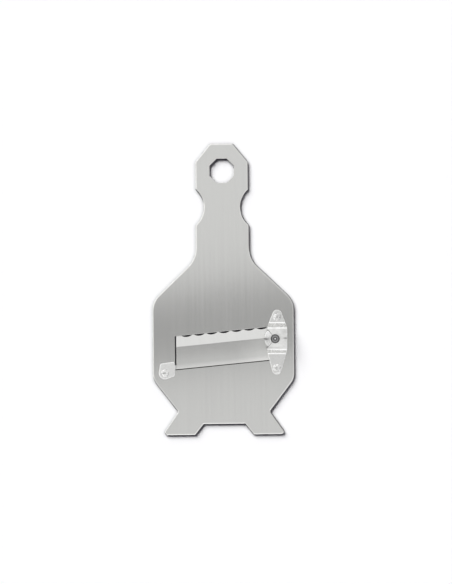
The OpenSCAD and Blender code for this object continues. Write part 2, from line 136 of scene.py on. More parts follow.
def rounded_copy(cad_node, name, width, share_of=lambda edge: 1.0, border=None, pressed=None):
    """Piece in a CAD node's shape, with its sharp edges rounded to a share of a width."""
    bm = bmesh.new()
    bm.from_mesh(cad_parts[cad_node].data)
    bmesh.ops.remove_doubles(bm, verts=bm.verts, dist=merge_distance)
    bmesh.ops.dissolve_limit(bm, angle_limit=flat_angle, verts=bm.verts, edges=bm.edges)
    bordered(bm, 1, border or border_share * width)
    bordered(bm, -1, border_share * width)
    if pressed:
        pressed(bm)
    weight = bm.edges.layers.float.new("bevel_weight_edge")
    for edge in bm.edges:
        if edge.is_manifold and edge.calc_face_angle() > sharp_angle:
            edge[weight] = 0.0 if beside_rivet(edge) else share_of(edge)
            edge.smooth = edge[weight] > 0
    for face in bm.faces:
        face.smooth = True
    mesh = bpy.data.meshes.new(name)
    bm.to_mesh(mesh)
    bm.free()
    piece = bpy.data.objects.new(name, mesh)
    bpy.context.scene.collection.objects.link(piece)
    bevel = piece.modifiers.new("rolled_edges", "BEVEL")
    bevel.limit_method = "WEIGHT"
    bevel.width = width
    bevel.segments = rounding_steps
    bevel.use_clamp_overlap = False
    true_faces = piece.modifiers.new("true_faces", "WEIGHTED_NORMAL")
    true_faces.weight = 100
    true_faces.keep_sharp = True
    return piece


def baked(piece):
    """The piece with its modifiers turned into plain mesh."""
    graph = bpy.context.evaluated_depsgraph_get()
    mesh = bpy.data.meshes.new_from_object(
        piece.evaluated_get(graph), preserve_all_data_layers=True, depsgraph=graph
    )
    piece.modifiers.clear()
    piece.data = mesh
    mesh.name = piece.name
    return piece


def finished(piece, body, slot, *materials):
    """The piece in its materials, on its body. Its slot is not used."""
    piece.data.materials.clear()
    for material in materials:
        piece.data.materials.append(material)
    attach(piece, body)
    return piece


def metal(name):
    """New bare metal, with its node tree and its shader."""
    material = bpy.data.materials.new(name)
    material.use_nodes = True
    shader = material.node_tree.nodes["Principled BSDF"]
    shader.inputs["Metallic"].default_value = 1.0
    return material, material.node_tree, shader


def node(tree, kind, inputs=None, family="Shader", **settings):
    """New node with its settings, and its inputs given as values or as sockets."""
    made = tree.nodes.new(family + "Node" + kind)
    for key, value in settings.items():
        setattr(made, key, value)
    for key, value in (inputs or {}).items():
        if isinstance(value, bpy.types.NodeSocket):
            tree.links.new(value, made.inputs[key])
        else:
            made.inputs[key].default_value = value
    return made


def maths(tree, operation, *values):
    """Result of one Math node on values or sockets."""
    return node(tree, "Math", dict(enumerate(values)), operation=operation).outputs[0]


def vectors(tree, operation, *values):
    """Result of one Vector Math node, which is a number for a length or a dot product."""
    made = node(tree, "VectorMath", dict(enumerate(values)), operation=operation)
    return made.outputs["Value" if operation in ("LENGTH", "DOT_PRODUCT") else "Vector"]


def times(tree, colour, factor):
    """A colour, or a direction, times a factor."""
    return node(tree, "VectorMath", {0: colour, "Scale": factor}, operation="SCALE").outputs[0]


def ramp(tree, value, start, end, at_start=0.0, at_end=1.0):
    """Goes evenly from one number to another while a value goes from start to end."""
    return node(
        tree, "MapRange", {0: value, 1: start, 2: end, 3: at_start, 4: at_end}
    ).outputs[0]


def shaded_place(tree):
    """The point of the piece that is shaded."""
    return node(tree, "TexCoord").outputs["Object"]


def along(tree, axis):
    """How far along X, Y or Z the point that is shaded lies."""
    return node(tree, "SeparateXYZ", {0: shaded_place(tree)}).outputs[axis]


def spread(tree, size, turn=0.0, detail=3.0):
    """Noise from 0 to 1 whose marks have a size along each axis, turned about Z."""
    turned = node(
        tree, "Mapping", {"Vector": shaded_place(tree), "Rotation": (0, 0, turn)},
        vector_type="TEXTURE"
    ).outputs[0]
    scaled = vectors(tree, "MULTIPLY", turned, [1 / length for length in size])
    texture = node(tree, "TexNoise", {"Vector": scaled, "Scale": 1.0, "Detail": detail})
    return texture.outputs["Fac"]


def summed(tree, middle, terms):
    """A middle value, plus each pattern's departure from a half times its amount."""
    total = middle - sum(amount for pattern, amount in terms) / 2
    for pattern, amount in terms:
        total = maths(tree, "MULTIPLY_ADD", pattern, amount, total)
    return total


def sideways_lean(tree):
    """The part of the piece's own face direction that lies in the plate's plane."""
    normal = node(tree, "NewGeometry").outputs["Normal"]
    own = node(
        tree, "VectorTransform", {0: normal}, vector_type="NORMAL",
        convert_from="WORLD", convert_to="OBJECT"
    ).outputs[0]
    return vectors(tree, "MULTIPLY", own, (1, 1, 0))


def rim_mask(tree, flat, steep):
    """0 on faces that look straight up or down, and 1 where their slope is steep."""
    slope = vectors(tree, "LENGTH", sideways_lean(tree))
    return ramp(tree, slope, flat, steep)


def in_world(tree, direction):
    """A direction of the piece, as it lies in the world."""
    return node(
        tree, "VectorTransform", {0: direction}, vector_type="VECTOR",
        convert_from="OBJECT", convert_to="WORLD"
    ).outputs[0]


def lie_along(tree, shader, direction, anisotropy):
    """Brush marks square to a direction of the piece, in which the shine spreads."""
    tree.links.new(in_world(tree, direction), shader.inputs["Tangent"])
    shader.inputs["Anisotropic"].default_value = anisotropy


def raised(tree, shader, height, distance, normal=None):
    """Relief of a pattern, so many metres deep."""
    bump = node(tree, "Bump", {"Height": height, "Distance": distance, "Strength": 1.0})
    if normal:
        tree.links.new(normal, bump.inputs["Normal"])
    tree.links.new(bump.outputs[0], shader.inputs["Normal"])


def painted_rim_shade(tree):
    """1 on the steep half of the rims that face the upper right, the lower left or the right,
    where shade is painted.
    """
    side = vectors(tree, "NORMALIZE", sideways_lean(tree))
    aslant = maths(tree, "ABSOLUTE", vectors(tree, "DOT_PRODUCT", side, slant_way))
    right = vectors(tree, "DOT_PRODUCT", side, right_way)
    shade_facing = ramp(tree, maths(tree, "MAXIMUM", aslant, right), start=0.82, end=0.95)
    return maths(tree, "MULTIPLY", shade_facing, rim_mask(tree, flat=0.2, steep=0.45))


def brushed_plate():
    """Steel brushed along the grip, with streaks over the body, a painted highlight on its rims
    and painted shade on the rims that face the upper right, the lower left or the right.
    """
    material, tree, shader = metal("brushed_plate")
    grain = spread(tree, (0.00012, 0.03, 0.01), detail=2.0)
    streaks = spread(tree, (0.0014, 0.16, 0.01), detail=4.0)
    clouds = spread(tree, (0.03, 0.05, 0.03))
    scratch = spread(tree, (0.00008, 0.012, 0.01), turn=scratch_turn, detail=0.0)
    scratched = ramp(tree, scratch, start=0.74, end=0.8)
    rim = rim_mask(tree, flat=0.0, steep=0.25)
    above_middle = maths(tree, "SUBTRACT", along(tree, "Y"), streak_middle)
    off_middle = maths(tree, "ABSOLUTE", above_middle)
    streak_gain = ramp(tree, off_middle, *streak_reach, *streak_gains)
    shade = summed(tree, 1.0, [(grain, 0.09), (clouds, 0.03)])
    centred = maths(tree, "SUBTRACT", streaks, 0.5)
    streaked = maths(tree, "MULTIPLY_ADD", centred, streak_gain, shade)
    worn = maths(tree, "MULTIPLY_ADD", scratched, 0.05, streaked)
    # Painted highlight on the rims, then painted shade on the rims that face away from the sun.
    lit = maths(tree, "MULTIPLY_ADD", rim, plate_rim_highlight, worn)
    rim_shaded = maths(tree, "MULTIPLY_ADD", painted_rim_shade(tree), rim_shade_share - 1, 1.0)
    shaded = maths(tree, "MULTIPLY", lit, rim_shaded)
    tree.links.new(times(tree, plate_colour, shaded), shader.inputs["Base Color"])
    rough = summed(tree, 0.21, [(grain, 0.03), (clouds, 0.02), (rim, 0.06)])
    tree.links.new(rough, shader.inputs["Roughness"])
    lie_along(tree, shader, (1, 0, 0), 0.9)
    raised(tree, shader, maths(tree, "ADD", grain, scratched), 4e-7)
    return material


def plate_share(edge):
    """Whole rounding round the food side, and less on the rear and at the slot and the hole."""
    low = min(vert.co.z for vert in edge.verts)
    high = max(vert.co.z for vert in edge.verts)
    if high - low > merge_distance:
        return 0.0
    middle = (edge.verts[0].co + edge.verts[1].co) / 2
    in_hole = (middle.xy - hole_middle.xy).length < hole_reach
    in_slot = abs(middle.x) < slot_reach.x and abs(middle.y - blade_middle.y) < slot_reach.y
    if in_hole or in_slot:
        return cut_edge_share
    return 1.0 if low > plate_top / 2 else rear_edge_share


def die_roll(bm):
    """Lowers the top's outline a little, as the press's die draws it down."""
    outline = [edge for edge in bm.edges if edge.calc_face_angle(0) > sharp_angle and
               edge.verts[0].co.z > plate_top / 2 and edge.verts[1].co.z > plate_top / 2]
    for vert in {vert for edge in outline if plate_share(edge) == 1 for vert in edge.verts}:
        if not any((vert.co - place).xy.length < rivet_reach for place in rivet_places):
            vert.co.z -= roll_depth


def cut_faces_and_shade(name, colour):
    """The matte, streaked face that cutting leaves through a sheet's thickness, dark enough to
    stand in for painted shade in the gaps and on the rims beside it.
    """
    material, tree, shader = metal(name)
    shear = spread(tree, (0.0003, 0.0003, 0.004), detail=3.0)
    clouds = spread(tree, (0.004, 0.004, 0.002))
    shade = summed(tree, 1.0, [(shear, 0.3), (clouds, 0.2)])
    tree.links.new(times(tree, colour, shade), shader.inputs["Base Color"])
    tree.links.new(summed(tree, 0.5, [(shear, 0.1)]), shader.inputs["Roughness"])
    raised(tree, shader, shear, 1.5e-5)
    return material


def darken_cut_and_shade(piece, steep=wall_z, least_z=0.0, place=Vector((0, 0, 0)), reach=1.0, facing=None):
    """Gives a piece's steep faces near a place its second material, the dark cut face, which
    paints shade in the gaps and on the rims there.
    """
    for polygon in piece.data.polygons:
        near = (polygon.center - place).xy.length < reach and polygon.center.z > least_z
        seen = facing is None or polygon.normal.dot(facing) > 0
        if near and seen and abs(polygon.normal.z) < steep:
            polygon.material_index = 1


def level_shading(piece, level):
    """Makes the flat top shade flat right up to its border."""
    mesh = piece.data
    normals = [Vector(normal.vector) for normal in mesh.corner_normals]
    for loop in mesh.loops:
        if mesh.vertices[loop.vertex_index].co.z > level - merge_distance:
            normals[loop.index] = Vector((0, 0, 1))
    mesh.normals_split_custom_set(normals)


cut_wall = cut_faces_and_shade("cut_wall", cut_and_shade_colour)
plate = baked(
    rounded_copy("plate", "plate_sheet", plate_edge, plate_share, border=roll_w, pressed=die_roll)
)
level_shading(plate, plate_top)
finished(plate, "frame", "plate_steel", brushed_plate(), cut_wall)
# The walls and the outer strip of the rounded outline take the dark cut face, as painted shade
# along the outline; so do the slot's rims that face right, as painted shade in its gaps.
darken_cut_and_shade(plate)
darken_cut_and_shade(plate, steep=rim_z, place=blade_middle, reach=slot_reach.x, facing=slot_side)
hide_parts("plate")


# Blade
# A strip of spring steel that fills the slot. A long bevel is ground along its upper edge, and
# the edge is cut into seven scallops. It is ground across, so its grain runs to the edge.
blade_edge = 0.00006
blade_colour = (0.63, 0.63, 0.617)
bevel_colour = (0.74, 0.74, 0.727)
slot_turn = math.radians(5.2)
blade_bow = 1.2
widest_cut = 4e-6
up_z = 0.9
level_z = 0.999
across = (-math.sin(slot_turn), math.cos(slot_turn), 0)
# Painted highlight over the blade's right end, round the bush, and a paler back edge.
end_light_from = 0.008
end_light_to = 0.022
end_light_gain = 1.14
back_from = -0.007
back_to = -0.0105
back_gain = 1.25


def on_top(edge):
    """True for a line between two faces that both look up, such as the bevel's."""
    return all(face.normal.z > up_z for face in edge.link_faces)


def blade_share(edge):
    """Everything is rounded but the cutting edge, whose scallops are cut in narrow faces."""
    tall = all(face.calc_area() > widest_cut for face in edge.link_faces)
    return 1.0 if tall else 0.0


def offset_from(tree, middle):
    """Step from a place to the point that is shaded."""
    return vectors(tree, "SUBTRACT", shaded_place(tree), middle)


def across_blade(tree):
    """Distance from the blade's middle line towards its cutting edge."""
    return vectors(tree, "DOT_PRODUCT", offset_from(tree, blade_middle), across)


def bowed(tree):
    """Face direction of a strip that the grinding has left a little round across its width."""
    lean = maths(tree, "MULTIPLY", across_blade(tree), blade_bow)
    push = in_world(tree, times(tree, across, lean))
    true_face = node(tree, "NewGeometry").outputs["Normal"]
    return vectors(tree, "NORMALIZE", vectors(tree, "ADD", true_face, push))


def ground_steel(name, colour, roughness, anisotropy, bow=False):
    """Steel ground square to the slot, with its grain across the blade."""
    material, tree, shader = metal(name)
    grain = spread(tree, (0.0001, 0.012, 0.01), turn=slot_turn, detail=2.0)
    streaks = spread(tree, (0.0011, 0.05, 0.01), turn=slot_turn, detail=3.0)
    clouds = spread(tree, (0.012, 0.008, 0.02))
    shade = summed(tree, 1.0, [(grain, 0.05), (streaks, 0.05), (clouds, 0.03)])
    tree.links.new(times(tree, colour, shade), shader.inputs["Base Color"])
    rough = summed(tree, roughness, [(grain, 0.03), (clouds, 0.03)])
    tree.links.new(rough, shader.inputs["Roughness"])
    lie_along(tree, shader, (math.cos(slot_turn), math.sin(slot_turn), 0), anisotropy)
    raised(tree, shader, grain, 4e-7, bowed(tree) if bow else None)
    return material


def retinted(tree, factor):
    """Multiplies the colour that a finish already has."""
    base = tree.nodes["Principled BSDF"].inputs["Base Color"]
    tree.links.new(times(tree, base.links[0].from_socket, factor), base)


def end_light_and_back(material):
    """A painted highlight at the right end, round the bush, and paler along the back edge."""
    tree = material.node_tree
    end_gain = ramp(tree, along(tree, "X"), end_light_from, end_light_to, 1.0, end_light_gain)
    edge_gain = ramp(tree, across_blade(tree), back_from, back_to, 1.0, back_gain)
    retinted(tree, maths(tree, "MULTIPLY", end_gain, edge_gain))
    return material


blade = rounded_copy("blade", "blade_strip", blade_edge, blade_share)
bm = bmesh.new()
bm.from_mesh(blade.data)
for edge in bm.edges:
    if edge.is_manifold and on_top(edge) and edge.calc_face_angle() > flat_angle:
        edge.smooth = False
bm.to_mesh(blade.data)
bm.free()
blade = baked(blade)
blade_steel = end_light_and_back(
    ground_steel("ground_blade", blade_colour, roughness=0.2, anisotropy=0.85, bow=True)
)
bevel_steel = ground_steel("ground_bevel", bevel_colour, roughness=0.2, anisotropy=0.85)
finished(blade, "blade", "blade_steel", blade_steel, bevel_steel, cut_wall)
# The blade's side walls take the dark cut face, as painted shade in the gaps beside them.
for polygon in blade.data.polygons:
    if up_z < polygon.normal.z < level_z:
        polygon.material_index = 1
    elif abs(polygon.normal.z) < wall_z:
        polygon.material_index = 2
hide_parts("blade")


# Blade necks and tabs
# The blade's ends run through two narrow necks into tabs that lie on the plate, and the tabs are
# riveted down. All is one strip of steel, so each neck runs a little way into its tab, a hair
# under the tab's top.
neck_cuts = 6
neck_overlap = 0.0004
neck_sink = 0.00001
tab_edge = 0.00038
under_share = 0.35
neck_edge = 0.00008
tab_colour = (0.75, 0.75, 0.74)


def tumbled_share(edge):
    """Whole rounding round the side that meets the tumbler's stones, and less underneath."""
    return 1.0 if any(face.normal.z > wall_z for face in edge.link_faces) else under_share


def tumbled_steel(name, colour, roughness, rim_highlight):
    """Steel rounded and made matte in the tumbler, with small dents and a painted highlight on its
    rims.
    """
    material, tree, shader = metal(name)
    grain = spread(tree, (0.0002, 0.0002, 0.0002), detail=2.0)
    dents = spread(tree, (0.0011, 0.0011, 0.0011), detail=2.0)
    clouds = spread(tree, (0.006, 0.006, 0.006), detail=1.0)
    rim = rim_mask(tree, flat=0.12, steep=0.5)
    shade = summed(tree, 1.0, [(grain, 0.16), (dents, 0.22), (clouds, 0.12)])
    # Painted highlight on the rims.
    lit = maths(tree, "MULTIPLY_ADD", rim, rim_highlight, shade)
    tree.links.new(times(tree, colour, lit), shader.inputs["Base Color"])
    rough = summed(tree, roughness, [(grain, 0.05), (dents, 0.08), (rim, -0.06)])
    tree.links.new(rough, shader.inputs["Roughness"])
    raised(tree, shader, maths(tree, "MULTIPLY_ADD", grain, 0.05, dents), 1.4e-5)
    return material


tab_steel = tumbled_steel("tumbled_tab", tab_colour, roughness=0.3, rim_highlight=0.5)
for side in ("left", "right"):
    tab = baked(rounded_copy("blade_tab_" + side, "tab_" + side, tab_edge, tumbled_share))
    finished(tab, "frame", "tab_steel", tab_steel)
    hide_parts("blade_tab_" + side)

for side in ("left", "right"):
    neck = rounded_copy("blade_neck_" + side, "neck_" + side, neck_edge)
    low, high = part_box("blade_neck_" + side)
    tab_x, blade_x, outwards = (low.x, high.x, -1) if side == "left" else (high.x, low.x, 1)
    for vert in neck.data.vertices:
        if abs(vert.co.x - tab_x) < merge_distance:
            vert.co += Vector((outwards * neck_overlap, 0, 0))
        if abs(vert.co.z - high.z) < merge_distance:
            vert.co.z -= neck_sink
    bm = bmesh.new()
    bm.from_mesh(neck.data)
    for i in range(1, neck_cuts):
        middle = low.lerp(high, i / neck_cuts)
        bmesh.ops.bisect_plane(
            bm, geom=bm.verts[:] + bm.edges[:] + bm.faces[:], dist=merge_distance,
            plane_co=middle, plane_no=(1, 0, 0)
        )
    bm.to_mesh(neck.data)
    bm.free()
    neck = baked(neck)
    neck.data.materials.clear()
    neck.data.materials.append(tab_steel)
    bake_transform(neck)
    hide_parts("blade_neck_" + side)


# Rivets
# Three steel rivets hold the left tab and the bridge's two ears. Their heads are hammered round,
# with a punch mark in the middle, and their tails lie flush in the plate's rear face.
head_h = 0.00095
head_r = 0.0026
head_lip = 0.00022
mark_r = 0.00105
mark_depth = 0.00034
shank_r = 0.0015
tail_r = 0.0023
tail_depth = 0.0008
dome_steps = 14
mark_steps = 8
rivet_turns = 72
hammer_depth = 0.00022
hammer_size = 0.001
punch_r = 0.0016
punch_dent = 1.1
first_seed = 3
rivet_colour = (0.56, 0.56, 0.553)
# Painted highlight on the rivet heads' high spots, and painted shade in their dents and punch
# marks.
high_spot_highlight = 1.28
dent_shade = 0.6
edge_angle = math.radians(40)


def turned(name, profile, place, segments):
    """Turned piece: a profile of (radius, height) pairs, from axis to axis, spun about a place."""
    rings = []
    verts = []
    for radius, height in profile:
        if radius == 0:
            rings.append([len(verts)] * segments)
            verts.append((place.x, place.y, height))
            continue
        rings.append([len(verts) + i for i in range(segments)])
        for i in range(segments):
            angle = 2 * math.pi * i / segments
            verts.append(
                (place.x + radius * math.cos(angle), place.y + radius * math.sin(angle), height)
            )
    faces = []
    for lower, upper in zip(rings, rings[1:]):
        for i in range(segments):
            j = (i + 1) % segments
            corners = [lower[i], lower[j], upper[j], upper[i]]
            faces.append([c for k, c in enumerate(corners) if c not in corners[:k]])
    mesh = bpy.data.meshes.new(name)
    mesh.from_pydata(verts, [], faces)
    for polygon in mesh.polygons:
        polygon.use_smooth = True
    mesh.update()
    mesh.set_sharp_from_angle(angle=edge_angle)
    piece = bpy.data.objects.new(name, mesh)
    bpy.context.scene.collection.objects.link(piece)
    return piece


def node_tree(name, sockets):
    """Geometry tree with a mesh in and out, and named inputs for sizes and materials."""
    tree = bpy.data.node_groups.new(name, "GeometryNodeTree")
    tree.interface.new_socket("Geometry", in_out="INPUT", socket_type="NodeSocketGeometry")
    for title, kind in sockets:
        tree.interface.new_socket(title, in_out="INPUT", socket_type="NodeSocket" + kind)
    tree.interface.new_socket("Geometry", in_out="OUTPUT", socket_type="NodeSocketGeometry")
    return tree, tree.nodes.new("NodeGroupInput"), tree.nodes.new("NodeGroupOutput")


def shaped_by(piece, tree, **values):
    """The piece after a geometry tree, with the tree's inputs set by their names."""
    modifier = piece.modifiers.new(tree.name, "NODES")
    modifier.node_group = tree
    for socket in tree.interface.items_tree:
        key = socket.name.lower().replace(" ", "_")
        if socket.in_out == "INPUT" and key in values:
            modifier[socket.identifier] = values[key]
    return baked(piece)


def shape_node(tree, kind, inputs=None, **settings):
    """New geometry node, made in the same way as a shader's."""
    return node(tree, kind, inputs, family="Geometry", **settings)


def ended(tree, start, end, shape):
    """The tree, which now ends in its shape as real mesh, in the finish that it is given."""
    real = shape_node(tree, "RealizeInstances", {0: shape}).outputs[0]
    done = shape_node(
        tree, "SetMaterial", {"Geometry": real, "Material": start.outputs["Finish"]}
    ).outputs[0]
    tree.links.new(done, end.inputs[0])
    return tree


def hammering():
    """Tree that dents a rivet head along its normals, above a level."""
    tree, start, end = node_tree(
        "hammered_head",
        [("Depth", "Float"), ("Mark size", "Float"), ("Level", "Float"), ("Seed", "Float"),
         ("Middle", "Vector"), ("Punch radius", "Float"), ("Finish", "Material")],
    )
    place = shape_node(tree, "InputPosition").outputs[0]
    scale = maths(tree, "DIVIDE", 1.0, start.outputs["Mark size"])
    marks = node(
        tree, "TexVoronoi", {"Vector": place, "W": start.outputs["Seed"], "Scale": scale},
        voronoi_dimensions="4D", feature="F1"
    ).outputs["Distance"]
    height = node(tree, "SeparateXYZ", {0: place}).outputs["Z"]
    above = maths(tree, "GREATER_THAN", height, start.outputs["Level"])
    dent = maths(tree, "SUBTRACT", 1.0, marks)
    depth = maths(tree, "MULTIPLY", dent, start.outputs["Depth"])
    normal = shape_node(tree, "InputNormal").outputs[0]
    push = times(tree, normal, maths(tree, "MULTIPLY", depth, -1.0))
    moved = shape_node(
        tree, "SetPosition",
        {"Geometry": start.outputs["Geometry"], "Selection": above, "Offset": push}
    ).outputs[0]
    away = vectors(tree, "LENGTH", vectors(tree, "SUBTRACT", place, start.outputs["Middle"]))
    punched = ramp(tree, away, 0.0, start.outputs["Punch radius"], punch_dent, 0.0)
    # How deep each point lies in a dent or the punch mark, which the finish turns into painted
    # shade.
    hollow_shade_mask = maths(tree, "MAXIMUM", dent, punched)
    marked = shape_node(
        tree, "StoreNamedAttribute", {"Geometry": moved, "Name": "dent", "Value": hollow_shade_mask},
        data_type="FLOAT", domain="POINT"
    ).outputs[0]
    return ended(tree, start, end, marked)


def rivet_profile(top):
    """From the flush tail up the shank, round the dome and into the punch mark."""
    level = top - head_h
    dome_r = (head_r ** 2 + (head_h - head_lip) ** 2) / (2 * (head_h - head_lip))
    points = [(0, 0), (tail_r, 0), (shank_r, tail_depth), (shank_r, level), (head_r, level)]
    for i in range(dome_steps + 1):
        radius = head_r + (mark_r - head_r) * i / dome_steps
        points.append((radius, top - dome_r + math.sqrt(dome_r ** 2 - radius ** 2)))
    rim = points[-1][1]
    for i in range(1, mark_steps + 1):
        radius = mark_r * (1 - i / mark_steps)
        points.append((radius, rim - mark_depth * math.sin(math.pi / 2 * i / mark_steps)))
    return points


def rivet_finish():
    """Hammered steel, with a painted highlight on the high spots and painted shade in the dents
    and the punch mark.
    """
    material = tumbled_steel("hammered_rivet", rivet_colour, roughness=0.18, rim_highlight=0.05)
    tree = material.node_tree
    dent = node(tree, "Attribute", attribute_name="dent").outputs["Fac"]
    retinted(
        tree, ramp(tree, dent, start=0.3, end=0.85, at_start=high_spot_highlight, at_end=dent_shade)
    )
    return material


rivet_steel = rivet_finish()
hammered = hammering()
for number, rivet_node in enumerate(rivet_nodes):
    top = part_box(rivet_node)[1].z
    rivet = turned(rivet_node + "_head", rivet_profile(top), rivet_places[number], rivet_turns)
    shaped_by(
        rivet, hammered, depth=hammer_depth, mark_size=hammer_size, level=top - head_h + head_lip,
        seed=float(first_seed + number), middle=Vector((*rivet_places[number].xy, top)),
        punch_radius=punch_r, finish=rivet_steel
    )
    finished(rivet, "frame", "rivet_steel", rivet_steel)
    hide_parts(rivet_node)


# Bridge
# A strip of 1 mm steel, bent up over the blade's right end and tumbled. Its two ears are riveted
# to the plate, and the screw turns in the seat at the end of the V cut into its left side.
bridge_edge = 0.0004
bridge_colour = (0.68, 0.68, 0.67)
bridge_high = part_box("bridge")[1]
screw_axis = (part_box("adjusting_screw")[0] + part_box("adjusting_screw")[1]) / 2
# The bridge's top is painted lighter, in faint rings about the screw's seat.
lit_top_from = bridge_high.z - 0.0008
lit_top_to = bridge_high.z - 0.0001
lit_top_gain = 1.2
top_ring_gap = 0.0004
mouth_reach = 0.006
mouth_low = lit_top_from - 0.001
mouth_end = 0.0025
mouth_middle = screw_axis - Vector((0.004, 0, 0))
mouth_share = 0.7
# The V's cut faces are painted mid grey, as painted shade along the V's edges.
mouth_shade_colour = (0.42, 0.42, 0.415)
# Painted reflections on the bridge: a dark smudge and two darker areas on its top, and painted
# highlights along both bends and on the lower ear.
bend_y = (-0.02164, -0.0411)
bend_size = (1, 0.0007, 1)
bridge_painted_patches = (
    (Vector((0.03941, -0.03136, bridge_high.z)), (0.0021, 0.0009, 0.001), 0.45),
    (Vector((0.0322, -0.0245, bridge_high.z)), (0.0013, 0.0026, 0.001), 0.9),
    (Vector((0.0385, -0.0262, bridge_high.z)), (0.003, 0.0034, 0.001), 0.86),
    (Vector((0, bend_y[0], 0)), bend_size, 1.3),
    (Vector((0, bend_y[1], 0)), bend_size, 1.3),
    (Vector((0.0345, -0.0534, 0)), (0.0026, 0.0012, 1), 1.3),
)


def bridge_share(edge):
    """As on the tabs, but sharper at the V, which is cut after the tumbling."""
    middle = (edge.verts[0].co + edge.verts[1].co) / 2
    away = middle - screw_axis
    in_mouth = away.x < mouth_end and abs(away.y) < mouth_reach and middle.z > mouth_low
    return mouth_share if in_mouth else tumbled_share(edge)


def away_from(tree, middle, size=(1, 1, 1)):
    """Distance from a place, in lengths of its own along each axis."""
    own = vectors(tree, "MULTIPLY", offset_from(tree, middle), [1 / length for length in size])
    return vectors(tree, "LENGTH", own)


def rings_about(tree, radius, gap):
    """Noise from 0 to 1 that changes with the distance from an axis, in rings a gap apart."""
    steps = maths(tree, "DIVIDE", radius, gap)
    texture = node(tree, "TexNoise", {"W": steps, "Scale": 1.0}, noise_dimensions="1D")
    return texture.outputs["Fac"]


def painted_patch(tree, middle, size, gain):
    """A painted patch, of shade where its gain is under 1 and of highlight where it is over, which
    fades out from its middle.
    """
    away = away_from(tree, middle, size)
    retinted(tree, ramp(tree, away, start=0.1, end=1.0, at_start=gain, at_end=1.0))


def bridge_steel(name, anisotropy):
    """Tumbled steel whose top is painted lighter, in faint rings about the screw's seat, with
    painted patches of reflection; its shine spreads out from the seat as far as its anisotropy
    allows.
    """
    material = tumbled_steel(name, bridge_colour, roughness=0.3, rim_highlight=0.32)
    tree = material.node_tree
    shader = tree.nodes["Principled BSDF"]
    # The top is painted lighter, with faint rings about the seat and soft wipes in it.
    lit_top_mask = ramp(tree, along(tree, "Z"), lit_top_from, lit_top_to)
    seat_middle = (screw_axis.x, screw_axis.y, bridge_high.z)
    rings = rings_about(tree, away_from(tree, seat_middle), top_ring_gap)
    wipes = spread(tree, (0.0035, 0.0025, 0.003), detail=2.0)
    lit_top = summed(tree, lit_top_gain, [(rings, 0.08), (wipes, 0.3)])
    gain = node(tree, "Mix", {0: lit_top_mask, 2: 1.0, 3: lit_top}, data_type="FLOAT").outputs[0]
    retinted(tree, gain)
    # Painted patches of reflection.
    for middle, size, patch_gain in bridge_painted_patches:
        painted_patch(tree, middle, size, patch_gain)
    radial = vectors(tree, "MULTIPLY", offset_from(tree, seat_middle), (1, 1, 0))
    lie_along(tree, shader, radial, anisotropy)
    return material


bridge = baked(rounded_copy("bridge", "bridge_strip", bridge_edge, bridge_share))
finished(
    bridge, "frame", "bridge_steel", bridge_steel("tumbled_bridge", anisotropy=0.0),
    cut_faces_and_shade("cut_mouth", mouth_shade_colour), bridge_steel("rubbed_bridge", anisotropy=0.85)
)
# The steep faces round the V take the mid grey, as painted shade along the V.
darken_cut_and_shade(bridge, steep=0.97, least_z=mouth_low, place=mouth_middle, reach=mouth_reach)
for polygon in bridge.data.polygons:
    if polygon.normal.z > level_z and polygon.center.z > lit_top_from:
        polygon.material_index = 2
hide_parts("bridge")


# Bush
# A turned brass bush, clinched into the lug at the blade's right end. The screw's thread runs
# in it and draws the blade up.
bush_colour = (0.72, 0.56, 0.31)
bush_low, bush_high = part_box("blade_bush")
bush_middle = (bush_low + bush_high) / 2
collar_r = (bush_high.x - bush_low.x) / 2
bush_r = 0.003
bush_bore = 0.0023
bush_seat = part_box("blade")[0].z
chamfer = 0.00015
turned_steps = 64


def turned_metal(name, colour, roughness, middle, ring_gap, anisotropy=0.9):
    """Metal turned on a lathe: fine rings about its axis, which spread its shine outwards."""
    material, tree, shader = metal(name)
    radial = vectors(tree, "MULTIPLY", offset_from(tree, middle), (1, 1, 0))
    rings = rings_about(tree, vectors(tree, "LENGTH", radial), ring_gap)
    clouds = spread(tree, (0.002, 0.002, 0.002))
    shade = summed(tree, 1.0, [(rings, 0.16), (clouds, 0.08)])
    tree.links.new(times(tree, colour, shade), shader.inputs["Base Color"])
    rough = summed(tree, roughness, [(rings, 0.05), (clouds, 0.05)])
    tree.links.new(rough, shader.inputs["Roughness"])
    lie_along(tree, shader, radial, anisotropy)
    raised(tree, shader, rings, 3e-6)
    return material


bush = turned(
    "threaded_bush",
    [
        (bush_bore, bush_low.z + chamfer), (bush_bore + chamfer, bush_low.z),
        (collar_r - chamfer, bush_low.z), (collar_r, bush_low.z + chamfer), (collar_r, bush_seat),
        (bush_r, bush_seat), (bush_r, bush_high.z), (bush_bore + chamfer, bush_high.z),
        (bush_bore, bush_high.z - chamfer), (bush_bore, bush_low.z + chamfer)
    ],
    bush_middle, turned_steps
)
bush_brass = turned_metal(
    "turned_brass", bush_colour, roughness=0.3, middle=bush_middle, ring_gap=0.00012
)
finished(bush, "blade", "bush_brass", bush_brass)
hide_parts("blade_bush")


# Adjusting wheel
# A disc turned from bar, with a hub that runs against the bridge and a knurled rim for the
# thumb. It is pressed on the screw's shank.
wheel_low, wheel_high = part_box("adjusting_wheel")
wheel_middle = (wheel_low + wheel_high) / 2
wheel_r = (wheel_high.x - wheel_low.x) / 2
wheel_t = 0.0015
wheel_chamfer = 0.00028
hub_r = 0.0032
knurls = 60
knurl_r = 0.0003
knurl_end = 0.0002
screw_shank_r = 0.0015
wheel_colour = (0.88, 0.88, 0.87)
core_r = wheel_r - knurl_r
wheel_top = wheel_low.z + wheel_t
wheel_steps = 96
